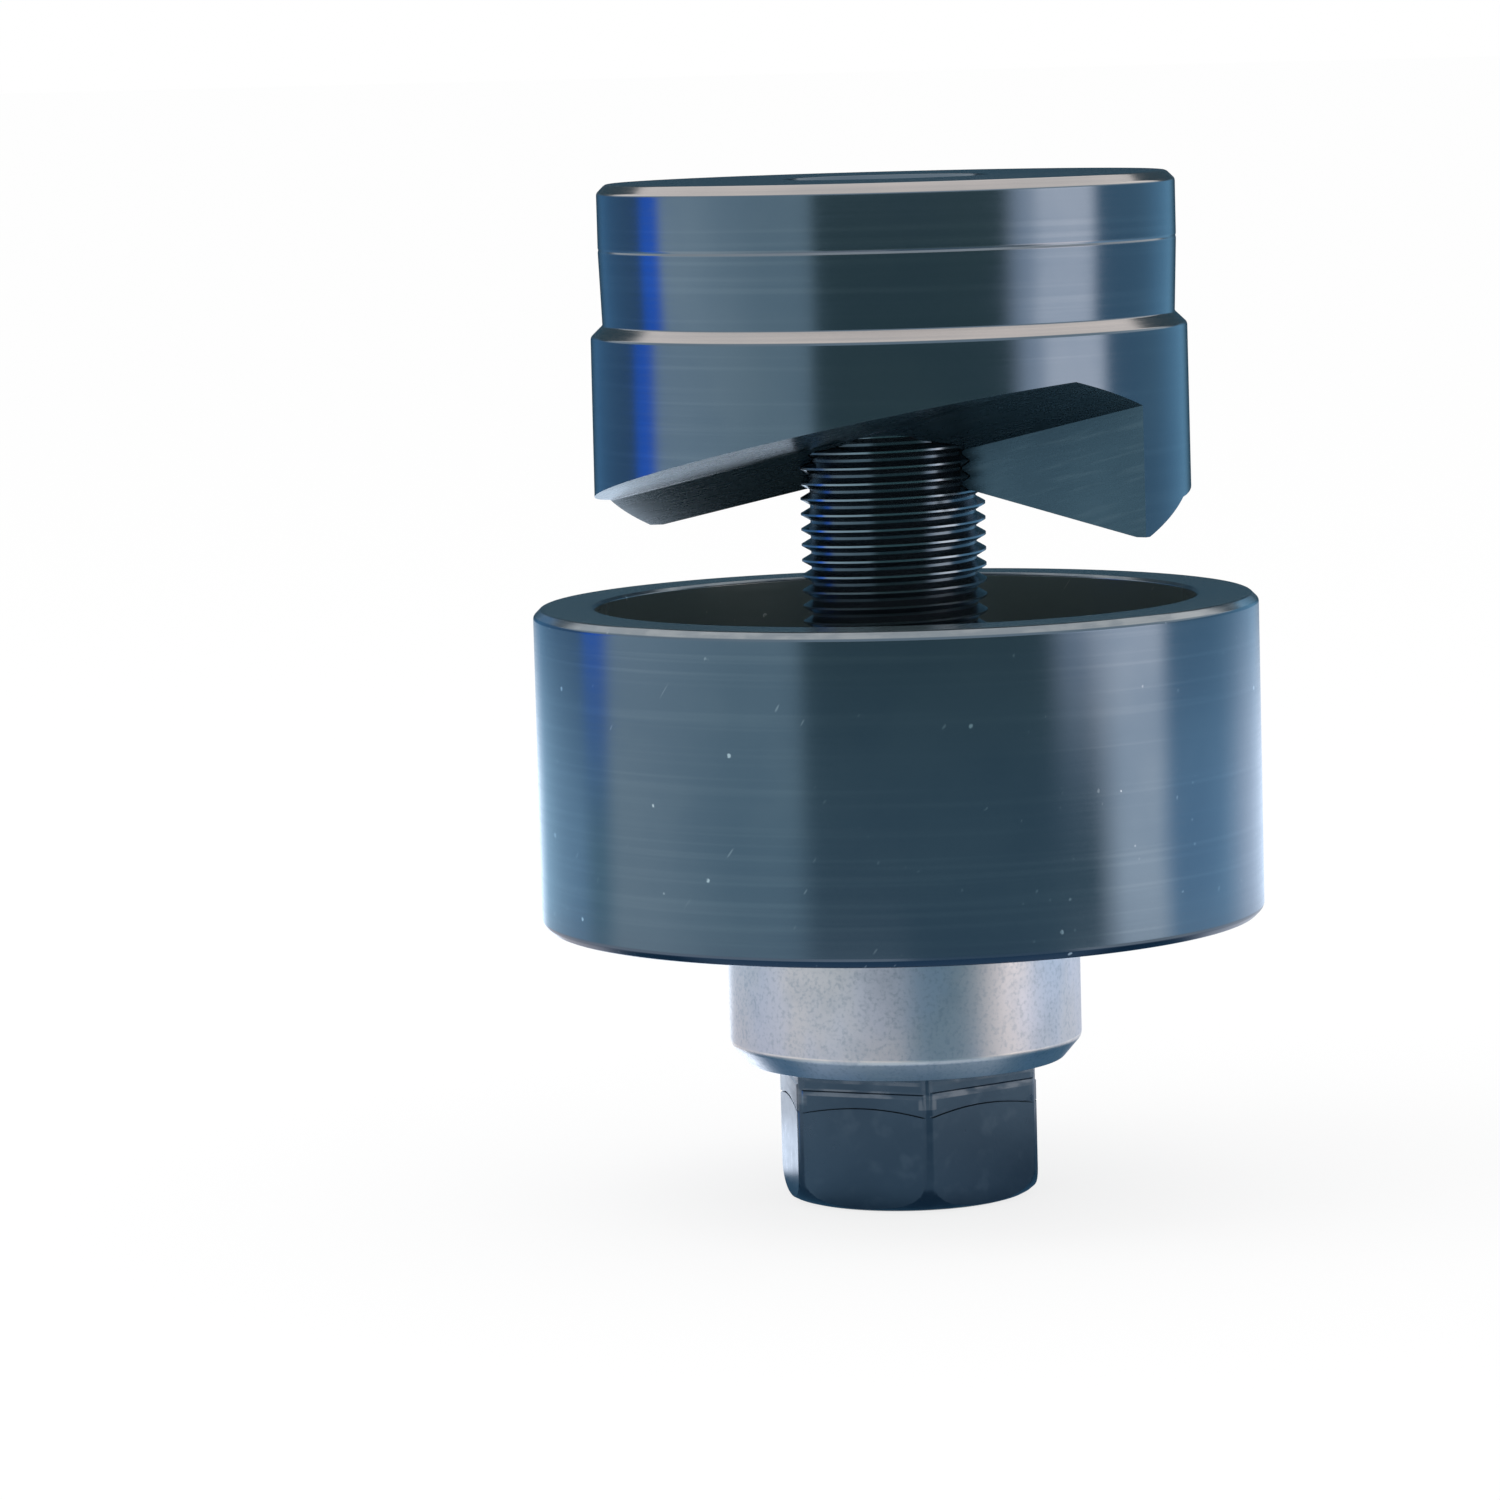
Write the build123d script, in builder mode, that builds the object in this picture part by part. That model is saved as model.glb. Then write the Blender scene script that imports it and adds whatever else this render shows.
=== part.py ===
"""Screw-driven knockout punch for a 2 in conduit hole in sheet metal.

Millimetres. The origin is the centre of the hex head's flat end, and +Z runs up the draw stud
through the thrust bearing and the die to the punch. The punch is split along the XZ plane, with
one cutting tip towards +X and the other towards -X.
"""

import math
import os

from build123d import *

os.makedirs("parts", exist_ok=True)

# Draw stud: a 3/4 in stud with a 1 in hex head
stud_diameter = 19.05
hex_across_flats = 25.0
hex_turned_diameter = 28.2
hex_clock = 12.9
hex_height = 14.5
hex_end_round = 2.9
stud_end_chamfer = 1.4
stud_recess = 5.4

# Thrust bearing between the head and the die
bearing_height = 14.4
race_width = 7.42
race_bore_clearance = 0.1
ball_diameter = 5.556
ball_spacing_web = 1.3
ball_clearance = 0.05
race_groove_depth = 0.7
cage_thickness = 1.6
cage_clearance = 0.35
pocket_clearance = 0.12
band_wall = 1.2
band_fit = 0.03
band_chamfer = 1.85
band_lip = 1.2
band_edge_round = 0.4
band_drop = 0.3
lower_race_clearance = 0.3

# Retaining ring in the stud's groove, inside the upper race's counterbore
ring_thickness = 1.07
ring_groove_depth = 0.55
ring_stand = 1.6
ring_seat_clearance = 0.02
ring_float = 0.15
ring_gap = 6.0
ring_lug_radius = 1.5
ring_lug_hole_radius = 0.6
ring_counterbore_clearance = 0.4
ring_sink = 0.35

# Hole to be cut, and the die round it
hole_diameter = 61.5
shear_clearance = 0.3
die_wall = 6.39
die_height = 33.2
die_floor = 9.7
die_stud_clearance = 0.4
die_rim_chamfer = 0.8
die_base_chamfer = 0.8
die_bore_edge = 0.3
die_cavity_fillet = 2.0
die_hole_chamfer = 0.6

# Punch above the sheet, its tips standing this far off the die's rim
sheet_gap = 7.0
skirt_height = 20.8
skirt_taper = 0.1
shoulder_rise = 1.2
shoulder_step = 1.35
neck_height = 7.7
neck_taper = 0.26
scribe_depth = 0.15
scribe_width = 0.4
crown_height = 6.7
crown_chamfer = 0.9
thread_clearance = 0.05
bore_chamfer = 1.0

# Slug-splitting shear faces
shear_angle = 12.4
relief_angle = 18.4
relief_width = 9.75
tip_flat = 0.25

stud_radius = stud_diameter / 2
head_radius = hex_turned_diameter / 2
cutting_radius = hole_diameter / 2

# Levels up the axis, each from what it stands on
bearing_level = hex_height
seat_level = bearing_level + bearing_height
rim_level = seat_level + die_height
tip_level = rim_level + sheet_gap
shoulder_level = tip_level + skirt_height
neck_level = shoulder_level + shoulder_rise
scribe_level = neck_level + neck_height
crown_level = scribe_level + crown_height
stud_level = crown_level - stud_recess

# Bearing radii and levels, built outwards from the stud
race_bore_radius = stud_radius + race_bore_clearance
race_radius = race_bore_radius + race_width
band_bore_radius = race_radius + band_fit
band_radius = band_bore_radius + band_wall
band_level = bearing_level - band_drop
ball_radius = ball_diameter / 2
pitch_radius = (race_bore_radius + band_bore_radius) / 2
ball_level = bearing_level + bearing_height / 2
race_gap = ball_diameter - 2 * race_groove_depth
lower_race_top = ball_level - race_gap / 2
upper_race_base = ball_level + race_gap / 2
ball_count = int(2 * math.pi * pitch_radius / (ball_diameter + ball_spacing_web))

# Retaining ring levels and radii
ring_radius = stud_radius + ring_stand
ring_top = seat_level - ring_sink
ring_level = ring_top - ring_thickness
counterbore_level = ring_level - ring_float
ring_groove_radius = stud_radius - ring_groove_depth
lug_place = stud_radius + ring_lug_radius + ring_seat_clearance
counterbore_radius = lug_place + ring_lug_radius + ring_counterbore_clearance


# Draw stud: hex head with turned corners, and a shank of the thread's outside diameter with the
# ring's groove. One corner of the head stands at hex_clock from +X, where it happens to be turned.
with BuildPart() as draw_stud:
    with BuildSketch():
        RegularPolygon(hex_across_flats / 2, 6, major_radius=False, rotation=hex_clock)
    extrude(amount=hex_height)
    with BuildSketch(Plane.XZ):
        with BuildLine():
            Line((0, 0), (head_radius - hex_end_round, 0))
            RadiusArc(
                (head_radius - hex_end_round, 0), (head_radius, hex_end_round), -hex_end_round
            )
            Polyline(
                (head_radius, hex_end_round), (head_radius, hex_height), (0, hex_height), (0, 0)
            )
        make_face()
    revolve(axis=Axis.Z, mode=Mode.INTERSECT)
    with BuildSketch(Plane.XZ):
        with BuildLine():
            Polyline(
                (0, hex_height),
                (stud_radius, hex_height),
                (stud_radius, ring_level - ring_seat_clearance),
                (ring_groove_radius, ring_level - ring_seat_clearance),
                (ring_groove_radius, ring_top + ring_seat_clearance),
                (stud_radius, ring_top + ring_seat_clearance),
                (stud_radius, stud_level - stud_end_chamfer),
                (stud_radius - stud_end_chamfer, stud_level),
                (0, stud_level),
                close=True,
            )
        make_face()
    revolve(axis=Axis.Z)
draw_stud.part.label = "draw_stud"
export_step(draw_stud.part, "parts/draw_stud.step")


# Bearing band: rolled over the upper race at the top and in under the lower race at the bottom.
# Its lower end is a 45 degree rim whose wall is as thick as the band's, and which reaches a
# little way down round the top of the head.
rim_top = band_level + band_chamfer
rim_turn = band_wall * math.tan(math.radians(22.5))
rim_end = band_wall * math.sqrt(0.5)

with BuildPart() as bearing_band:
    with BuildSketch(Plane.XZ):
        with BuildLine():
            Polyline(
                (band_radius, rim_top),
                (band_radius, seat_level),
                (band_bore_radius - band_lip, seat_level),
                (band_bore_radius - band_lip, seat_level - band_wall),
                (band_bore_radius, seat_level - band_wall),
                (band_bore_radius, rim_top + rim_turn),
                (band_radius - band_chamfer - rim_end, band_level + rim_end),
                (band_radius - band_chamfer, band_level),
                close=True,
            )
        make_face()
    revolve(axis=Axis.Z)
    top_edge = bearing_band.edges().filter_by(GeomType.CIRCLE).group_by(Axis.Z)[-1].sort_by(
        SortBy.RADIUS
    )[-1]
    fillet(top_edge, band_edge_round)
bearing_band.part.label = "bearing_band"
export_step(bearing_band.part, "parts/bearing_band.step")


# Races: each has a round groove for the balls, a little larger than the ball
race_groove_radius = ball_radius + ball_clearance

with BuildPart() as upper_race:
    with BuildSketch(Plane.XZ):
        with BuildLine():
            Polyline(
                (race_bore_radius, upper_race_base),
                (race_radius, upper_race_base),
                (race_radius, seat_level - band_wall - band_fit),
                (band_bore_radius - band_lip - band_fit, seat_level - band_wall - band_fit),
                (band_bore_radius - band_lip - band_fit, seat_level),
                (counterbore_radius, seat_level),
                (counterbore_radius, counterbore_level),
                (race_bore_radius, counterbore_level),
                close=True,
            )
        make_face()
        with Locations((pitch_radius, ball_level)):
            Circle(race_groove_radius, mode=Mode.SUBTRACT)
    revolve(axis=Axis.Z)
upper_race.part.label = "upper_race"
export_step(upper_race.part, "parts/upper_race.step")

# The lower race turns with the stud inside the band, so its outer corner follows the band's rim
# at a running clearance.
lower_race_bore_radius = stud_radius + band_fit
lower_race_radius = band_bore_radius - lower_race_clearance
lower_race_foot = band_radius - band_chamfer - rim_end - lower_race_clearance
rim_line = rim_top + rim_turn - band_bore_radius + lower_race_clearance * math.sqrt(2)

with BuildPart() as lower_race:
    with BuildSketch(Plane.XZ):
        with BuildLine():
            Polyline(
                (lower_race_bore_radius, bearing_level),
                (lower_race_foot, bearing_level),
                (lower_race_foot, lower_race_foot + rim_line),
                (lower_race_radius, lower_race_radius + rim_line),
                (lower_race_radius, lower_race_top),
                (lower_race_bore_radius, lower_race_top),
                close=True,
            )
        make_face()
        with Locations((pitch_radius, ball_level)):
            Circle(race_groove_radius, mode=Mode.SUBTRACT)
    revolve(axis=Axis.Z)
lower_race.part.label = "lower_race"
export_step(lower_race.part, "parts/lower_race.step")


# Ball cage: a flat ring at the balls' centres with one pocket for each ball
with BuildPart() as ball_cage:
    with BuildSketch(Plane.XY.offset(ball_level - cage_thickness / 2)):
        Circle(band_bore_radius - cage_clearance)
        Circle(stud_radius + cage_clearance, mode=Mode.SUBTRACT)
        with PolarLocations(pitch_radius, ball_count):
            Circle(ball_radius + pocket_clearance, mode=Mode.SUBTRACT)
    extrude(amount=cage_thickness)
ball_cage.part.label = "ball_cage"
export_step(ball_cage.part, "parts/ball_cage.step")

ball_places = PolarLocations(pitch_radius, ball_count).local_locations
for number, place in enumerate(ball_places, start=1):
    name = f"ball_{number:02d}"
    with BuildPart(Plane.XY.offset(ball_level)) as ball:
        with Locations(place):
            Sphere(ball_radius)
    ball.part.label = name
    export_step(ball.part, f"parts/{name}.step")


# Retaining ring: an open snap ring with two drilled lugs beside its gap
lug_turn = math.degrees(math.asin((ring_gap / 2 + ring_lug_radius) / lug_place))

with BuildPart() as retaining_ring:
    with BuildSketch(Plane.XY.offset(ring_level)):
        Circle(ring_radius)
        with Locations((lug_place, 0)):
            Rectangle(2 * ring_lug_radius + ring_stand, ring_gap, mode=Mode.SUBTRACT)
        with PolarLocations(lug_place, 2, start_angle=-lug_turn, angular_range=4 * lug_turn):
            Circle(ring_lug_radius)
            Circle(ring_lug_hole_radius, mode=Mode.SUBTRACT)
        Circle(ring_groove_radius + ring_seat_clearance, mode=Mode.SUBTRACT)
    extrude(amount=ring_thickness)
retaining_ring.part.label = "retaining_ring"
export_step(retaining_ring.part, "parts/retaining_ring.step")


# Die: a round cup whose bore is the cutting edge
die_bore_radius = cutting_radius + shear_clearance
die_radius = die_bore_radius + die_wall
die_hole_radius = stud_radius + die_stud_clearance
cavity_level = seat_level + die_floor

with BuildPart() as die:
    with BuildSketch(Plane.XZ):
        with BuildLine():
            Polyline(
                (die_hole_radius, seat_level),
                (die_radius - die_base_chamfer, seat_level),
                (die_radius, seat_level + die_base_chamfer),
                (die_radius, rim_level - die_rim_chamfer),
                (die_radius - die_rim_chamfer, rim_level),
                (die_bore_radius + die_bore_edge, rim_level),
                (die_bore_radius, rim_level - die_bore_edge),
                (die_bore_radius, cavity_level + die_cavity_fillet),
            )
            RadiusArc(
                (die_bore_radius, cavity_level + die_cavity_fillet),
                (die_bore_radius - die_cavity_fillet, cavity_level),
                die_cavity_fillet,
            )
            Polyline(
                (die_bore_radius - die_cavity_fillet, cavity_level),
                (die_hole_radius + die_hole_chamfer, cavity_level),
                (die_hole_radius, cavity_level - die_hole_chamfer),
                (die_hole_radius, seat_level),
            )
        make_face()
    revolve(axis=Axis.Z)
die.part.label = "die"
export_step(die.part, "parts/die.step")


# Shear relief: what is cut from under one half of the punch, the half on the -Y side. Its roof
# climbs at the relief angle away from the split plane, then runs level, and the whole roof climbs
# at the shear angle from the tip at -X to the far rim.
shear_slope = math.tan(math.radians(shear_angle))
relief_rise = relief_width * math.tan(math.radians(relief_angle))
relief_reach = 1.2 * cutting_radius
relief_start = tip_level - tip_flat - shear_slope * (relief_reach - cutting_radius)
relief_depth = 3 * shear_slope * relief_reach

with BuildPart() as shear_relief:
    with BuildSketch(Plane.YZ.offset(-relief_reach)):
        with BuildLine():
            Polyline(
                (0, relief_start),
                (-relief_width, relief_start + relief_rise),
                (-relief_reach, relief_start + relief_rise),
                (-relief_reach, relief_start - relief_depth),
                (0, relief_start - relief_depth),
                close=True,
            )
        make_face()
    relief_run = 2 * relief_reach / math.cos(math.radians(shear_angle))
    extrude(amount=relief_run, dir=(1, 0, shear_slope))


# Punch: a turned body with a cutting skirt, a shoulder, a tapered neck and a scribe line, split
# into two shear faces that rise from opposite tips and meet in upright faces on the split plane
skirt_radius = cutting_radius - skirt_taper
neck_radius = cutting_radius - shoulder_step
crown_radius = neck_radius + neck_taper
thread_bore_radius = stud_radius + thread_clearance

with BuildPart() as punch:
    with BuildSketch(Plane.XZ):
        with BuildLine():
            Polyline(
                (0, tip_level),
                (cutting_radius, tip_level),
                (skirt_radius, shoulder_level),
                (neck_radius, neck_level),
                (crown_radius, scribe_level - scribe_width / 2),
                (crown_radius - scribe_depth, scribe_level),
                (crown_radius, scribe_level + scribe_width / 2),
                (crown_radius, crown_level - crown_chamfer),
                (crown_radius - crown_chamfer, crown_level),
                (0, crown_level),
                close=True,
            )
        make_face()
    revolve(axis=Axis.Z)
    with PolarLocations(0, 2):
        add(shear_relief.part, mode=Mode.SUBTRACT)
    with Locations((0, 0, crown_level)):
        CounterSinkHole(
            thread_bore_radius, thread_bore_radius + bore_chamfer, counter_sink_angle=90
        )
punch.part.label = "punch"
export_step(punch.part, "parts/punch.step")
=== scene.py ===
"""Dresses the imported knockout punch: turned and threaded steel pieces, their finishes, the stage and
the camera. Blender objects are in metres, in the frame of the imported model: +Z runs up the draw stud.
Sizes below are in millimetres and angles in degrees, and each mesh is scaled to metres at the end.
"""

import logging
import math
from dataclasses import dataclass
from enum import Enum
from typing import Iterable, Sequence, Union

import bmesh
import bpy
from mathutils import Matrix, Vector


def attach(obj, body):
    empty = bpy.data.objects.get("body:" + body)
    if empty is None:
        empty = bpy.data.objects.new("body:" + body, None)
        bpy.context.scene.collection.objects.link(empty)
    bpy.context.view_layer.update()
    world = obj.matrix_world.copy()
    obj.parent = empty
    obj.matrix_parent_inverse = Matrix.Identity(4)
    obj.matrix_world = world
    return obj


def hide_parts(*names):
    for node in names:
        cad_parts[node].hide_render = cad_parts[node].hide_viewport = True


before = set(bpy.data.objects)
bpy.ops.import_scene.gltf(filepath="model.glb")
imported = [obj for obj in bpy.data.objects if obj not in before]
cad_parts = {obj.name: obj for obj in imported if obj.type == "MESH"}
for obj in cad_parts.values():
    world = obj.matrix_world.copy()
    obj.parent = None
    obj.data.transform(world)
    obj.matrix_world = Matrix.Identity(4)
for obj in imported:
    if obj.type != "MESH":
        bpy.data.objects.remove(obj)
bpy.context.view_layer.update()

LOG = logging.getLogger("knockout_punch")
METRES = 0.001
FULL_TURN = 2 * math.pi
SHARP_ANGLE = math.radians(32)
TURNED_STEPS = 256
SMALL_TURNED_STEPS = 192
THREAD_STEPS = 96
THREAD_PITCH = 25.4 / 16
HEX_STEP = 60
VIEW_AZIMUTH = -55.4

Colour = tuple[float, float, float]
Stretch = tuple[float, float, float]
Place = tuple[float, float, float]
Span = tuple[float, float]


class Cut(Enum):
    """What a tool does to the workpiece it meets."""

    REMOVE = "DIFFERENCE"
    KEEP_COMMON = "INTERSECT"
    WELD = "UNION"


class Grain(Enum):
    """How the marks on a finish lie, as the stretch of their noise along x, y and z, per metre."""

    TURNED = (30.0, 30.0, 3400.0)
    BRUSHED = (220.0, 220.0, 3000.0)
    GROUND = (300.0, 3400.0, 3400.0)
    FORGED = (900.0, 900.0, 900.0)


@dataclass(frozen=True)
class Corner:
    """One corner of a turned profile: its radius, its level and how far off its rounding starts."""

    radius: float
    level: float
    rounding: float = 0.0


class Workpiece:
    """A closed mesh in millimetres, made with bmesh operators and cut with other workpieces."""

    SEAM_REACH = 1e-5
    TURN_SEAM_REACH = 0.002
    LARGE_ROUNDING = 1.0
    LARGE_ROUNDING_STEPS = 8
    SMALL_ROUNDING_STEPS = 3

    def __init__(self, name: str) -> None:
        """Starts an empty workpiece.

        Args:
            name: The name of the object that the mesh is kept in.
        """
        self.mesh = bpy.data.meshes.new(name)
        self.object = bpy.data.objects.new(name, self.mesh)
        bpy.context.scene.collection.objects.link(self.object)

    def keep(self, shape: bmesh.types.BMesh) -> "Workpiece":
        """Stores a finished bmesh in the workpiece, with its normals pointing out.

        Args:
            shape: The bmesh, which is freed.

        Returns:
            This workpiece.
        """
        bmesh.ops.recalc_face_normals(shape, faces=shape.faces[:])
        shape.to_mesh(self.mesh)
        shape.free()
        return self

    def turn(self, profile: Sequence[Corner], steps: int = TURNED_STEPS) -> "Workpiece":
        """Turns a closed profile about the Z axis.

        Args:
            profile: The profile's corners in order; those on the axis have radius 0.
            steps: How many flats the full turn has.

        Returns:
            This workpiece.
        """
        shape = bmesh.new()
        places = [shape.verts.new((corner.radius, 0, corner.level)) for corner in profile]
        for place, follower in zip(places, places[1:] + places[:1]):
            if place.co.x > 0 or follower.co.x > 0:
                shape.edges.new((place, follower))
        for place, corner in zip(places, profile):
            if corner.rounding:
                self._round(shape, place, corner.rounding)
        bmesh.ops.rotate(shape, verts=shape.verts[:], matrix=Matrix.Rotation(math.pi / steps, 3, "Z"))
        bmesh.ops.spin(
            shape,
            geom=shape.verts[:] + shape.edges[:],
            cent=(0, 0, 0),
            axis=(0, 0, 1),
            angle=FULL_TURN,
            steps=steps,
            use_merge=True,
        )
        bmesh.ops.remove_doubles(shape, verts=shape.verts[:], dist=self.SEAM_REACH)
        return self.keep(shape)

    def _round(self, shape: bmesh.types.BMesh, place: bmesh.types.BMVert, offset: float) -> None:
        """Rounds one corner of a profile that isn't turned yet.

        Args:
            shape: The bmesh with the profile.
            place: The corner's vertex.
            offset: How far from the corner the rounding starts, in millimetres.
        """
        large = offset > self.LARGE_ROUNDING
        bmesh.ops.bevel(
            shape,
            geom=[place],
            offset=offset,
            offset_type="OFFSET",
            segments=self.LARGE_ROUNDING_STEPS if large else self.SMALL_ROUNDING_STEPS,
            profile=0.5,
            affect="VERTICES",
            material=-1,
        )

    def coil(self, section: Sequence[Span], level: float, turns: int) -> "Workpiece":
        """Sweeps a section along a right-hand helix of the draw stud's pitch.

        Args:
            section: The section's corners as radius and height off the helix.
            level: Where the helix starts.
            turns: How many turns it makes.

        Returns:
            This workpiece.
        """
        shape = bmesh.new()
        places = [shape.verts.new((radius, 0, level + rise)) for radius, rise in section]
        edges = [shape.edges.new(pair) for pair in zip(places, places[1:] + places[:1])]
        bmesh.ops.spin(
            shape,
            geom=[*places, *edges],
            cent=(0, 0, 0),
            axis=(0, 0, 1),
            dvec=(0, 0, THREAD_PITCH / THREAD_STEPS),
            angle=FULL_TURN,
            steps=THREAD_STEPS,
        )
        self.keep(shape)
        row = self.object.modifiers.new("turns", "ARRAY")
        row.count = turns
        row.use_relative_offset = False
        row.use_constant_offset = True
        row.constant_offset_displace = (0, 0, THREAD_PITCH)
        row.use_merge_vertices = True
        row.merge_threshold = self.TURN_SEAM_REACH
        self.settle()
        shape = bmesh.new()
        shape.from_mesh(self.mesh)
        bmesh.ops.holes_fill(shape, edges=[edge for edge in shape.edges if edge.is_boundary])
        return self.keep(shape)

    def prism(self, outline: Sequence[Vector], run: Vector) -> "Workpiece":
        """Extrudes a flat outline.

        Args:
            outline: The outline's corners in order.
            run: How far and in which direction it goes.

        Returns:
            This workpiece.
        """
        shape = bmesh.new()
        face = shape.faces.new([shape.verts.new(point) for point in outline])
        extruded = bmesh.ops.extrude_face_region(shape, geom=[face])
        moved = [item for item in extruded["geom"] if isinstance(item, bmesh.types.BMVert)]
        bmesh.ops.translate(shape, vec=run, verts=moved)
        bmesh.ops.recalc_face_normals(shape, faces=shape.faces[:])
        if len(shape.faces) < len(outline) + 2:
            bmesh.ops.holes_fill(shape, edges=shape.edges[:], sides=0)
        return self.keep(shape)

    def machine(self, tool: "Workpiece", cut: Cut) -> "Workpiece":
        """Cuts or welds this workpiece with another, which is used up.

        Args:
            tool: The other workpiece.
            cut: What it does.

        Returns:
            This workpiece.
        """
        modifier = self.object.modifiers.new("tool", "BOOLEAN")
        modifier.operation = cut.value
        modifier.solver = "MANIFOLD"
        modifier.material_mode = "TRANSFER"
        modifier.object = tool.object
        self.settle()
        tool.discard()
        return self

    def settle(self) -> "Workpiece":
        """Makes the modifiers' result the workpiece's own mesh and returns the workpiece."""
        graph = bpy.context.evaluated_depsgraph_get()
        result = bpy.data.meshes.new_from_object(self.object.evaluated_get(graph))
        self.object.modifiers.clear()
        spent = self.object.data
        self.object.data = result
        self.mesh = result
        bpy.data.meshes.remove(spent)
        return self

    def discard(self) -> None:
        """Removes the workpiece from the file."""
        bpy.data.objects.remove(self.object)

    def paint(self, material: bpy.types.Material) -> "Workpiece":
        """Gives the whole workpiece one material and returns the workpiece."""
        self.mesh.materials.clear()
        self.mesh.materials.append(material)
        return self

    def break_edges(self, width: float, angle: float) -> "Workpiece":
        """Takes the sharpness off the edges.

        Args:
            width: How wide the broken edge is.
            angle: The least angle between two faces whose edge is broken.

        Returns:
            This workpiece.
        """
        modifier = self.object.modifiers.new("broken_edges", "BEVEL")
        modifier.width = width
        modifier.segments = 2
        modifier.limit_method = "ANGLE"
        modifier.angle_limit = math.radians(angle)
        modifier.profile = 0.5
        modifier.use_clamp_overlap = True
        return self.settle()

    def hand_over(self, body: str, node: str, slot: str) -> bpy.types.Object:
        """Smooths the workpiece, brings it to metres and puts it in place of a CAD node.

        Args:
            body: The CAD body it rides on.
            node: The CAD node it stands for.
            slot: Not used.

        Returns:
            The finished object.
        """
        self.mesh.shade_smooth()
        self.mesh.set_sharp_from_angle(angle=SHARP_ANGLE)
        weighted = self.object.modifiers.new("weighted", "WEIGHTED_NORMAL")
        weighted.keep_sharp = True
        weighted.weight = 50
        self.settle()
        self.mesh.transform(Matrix.Scale(METRES, 4))
        self.mesh.update()
        self.mesh.name = self.object.name
        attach(self.object, body)
        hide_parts(node)
        LOG.info("%s: %d faces, in place of %s", self.object.name, len(self.mesh.polygons), node)
        return self.object


class Signal:
    """A number that varies over a surface: a node's socket with arithmetic that adds Math nodes."""

    def __init__(self, bench: "Bench", socket: bpy.types.NodeSocket) -> None:
        """Wraps an output socket.

        Args:
            bench: The material that the socket belongs to.
            socket: The output socket.
        """
        self.bench = bench
        self.socket = socket

    def _maths(self, operation: str, *operands: Union["Signal", float]) -> "Signal":
        """Adds one Math node.

        Args:
            operation: The node's operation.
            operands: Its inputs in order.

        Returns:
            The node's result.
        """
        node = self.bench.node("ShaderNodeMath", {"operation": operation}, dict(enumerate(operands)))
        return Signal(self.bench, node.outputs[0])

    def __add__(self, other: Union["Signal", float]) -> "Signal":
        """Adds."""
        return self._maths("ADD", self, other)

    __radd__ = __add__

    def __mul__(self, other: Union["Signal", float]) -> "Signal":
        """Multiplies."""
        return self._maths("MULTIPLY", self, other)

    __rmul__ = __mul__

    def __sub__(self, other: Union["Signal", float]) -> "Signal":
        """Subtracts."""
        return self._maths("SUBTRACT", self, other)

    def __rsub__(self, other: float) -> "Signal":
        """Subtracts this signal from a number."""
        return self._maths("SUBTRACT", other, self)

    def __truediv__(self, other: Union["Signal", float]) -> "Signal":
        """Divides."""
        return self._maths("DIVIDE", self, other)

    def __pow__(self, exponent: float) -> "Signal":
        """Raises to a power."""
        return self._maths("POWER", self, exponent)

    def larger(self, other: Union["Signal", float]) -> "Signal":
        """Returns the larger of the two."""
        return self._maths("MAXIMUM", self, other)

    def swing(self, amount: float) -> "Signal":
        """Returns how far a noise is off its middle, 0.5, times an amount."""
        return amount * (self - 0.5)

    def bearing(self, ahead: "Signal") -> "Signal":
        """Returns the angle of this signal, the sideways part, off the part ahead, in radians."""
        return self._maths("ARCTAN2", self, ahead)

    def ramp(self, start: float, end: float) -> "Signal":
        """Rises smoothly from 0 at start to 1 at end, which may also be below start.

        Args:
            start: The value that gives 0.
            end: The value that gives 1.

        Returns:
            The signal from 0 to 1.
        """
        settings = {"interpolation_type": "SMOOTHSTEP"}
        node = self.bench.node("ShaderNodeMapRange", settings, {0: self, 1: start, 2: end, 3: 0.0, 4: 1.0})
        return Signal(self.bench, node.outputs[0])

    def within(self, low: float, high: float, soft: float) -> "Signal":
        """Is 1 between two values and falls to 0 outside them.

        Args:
            low: The lower value.
            high: The upper value.
            soft: Over what distance it falls.

        Returns:
            The signal from 0 to 1.
        """
        return self.ramp(low - soft, low) * self.ramp(high + soft, high)


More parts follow.
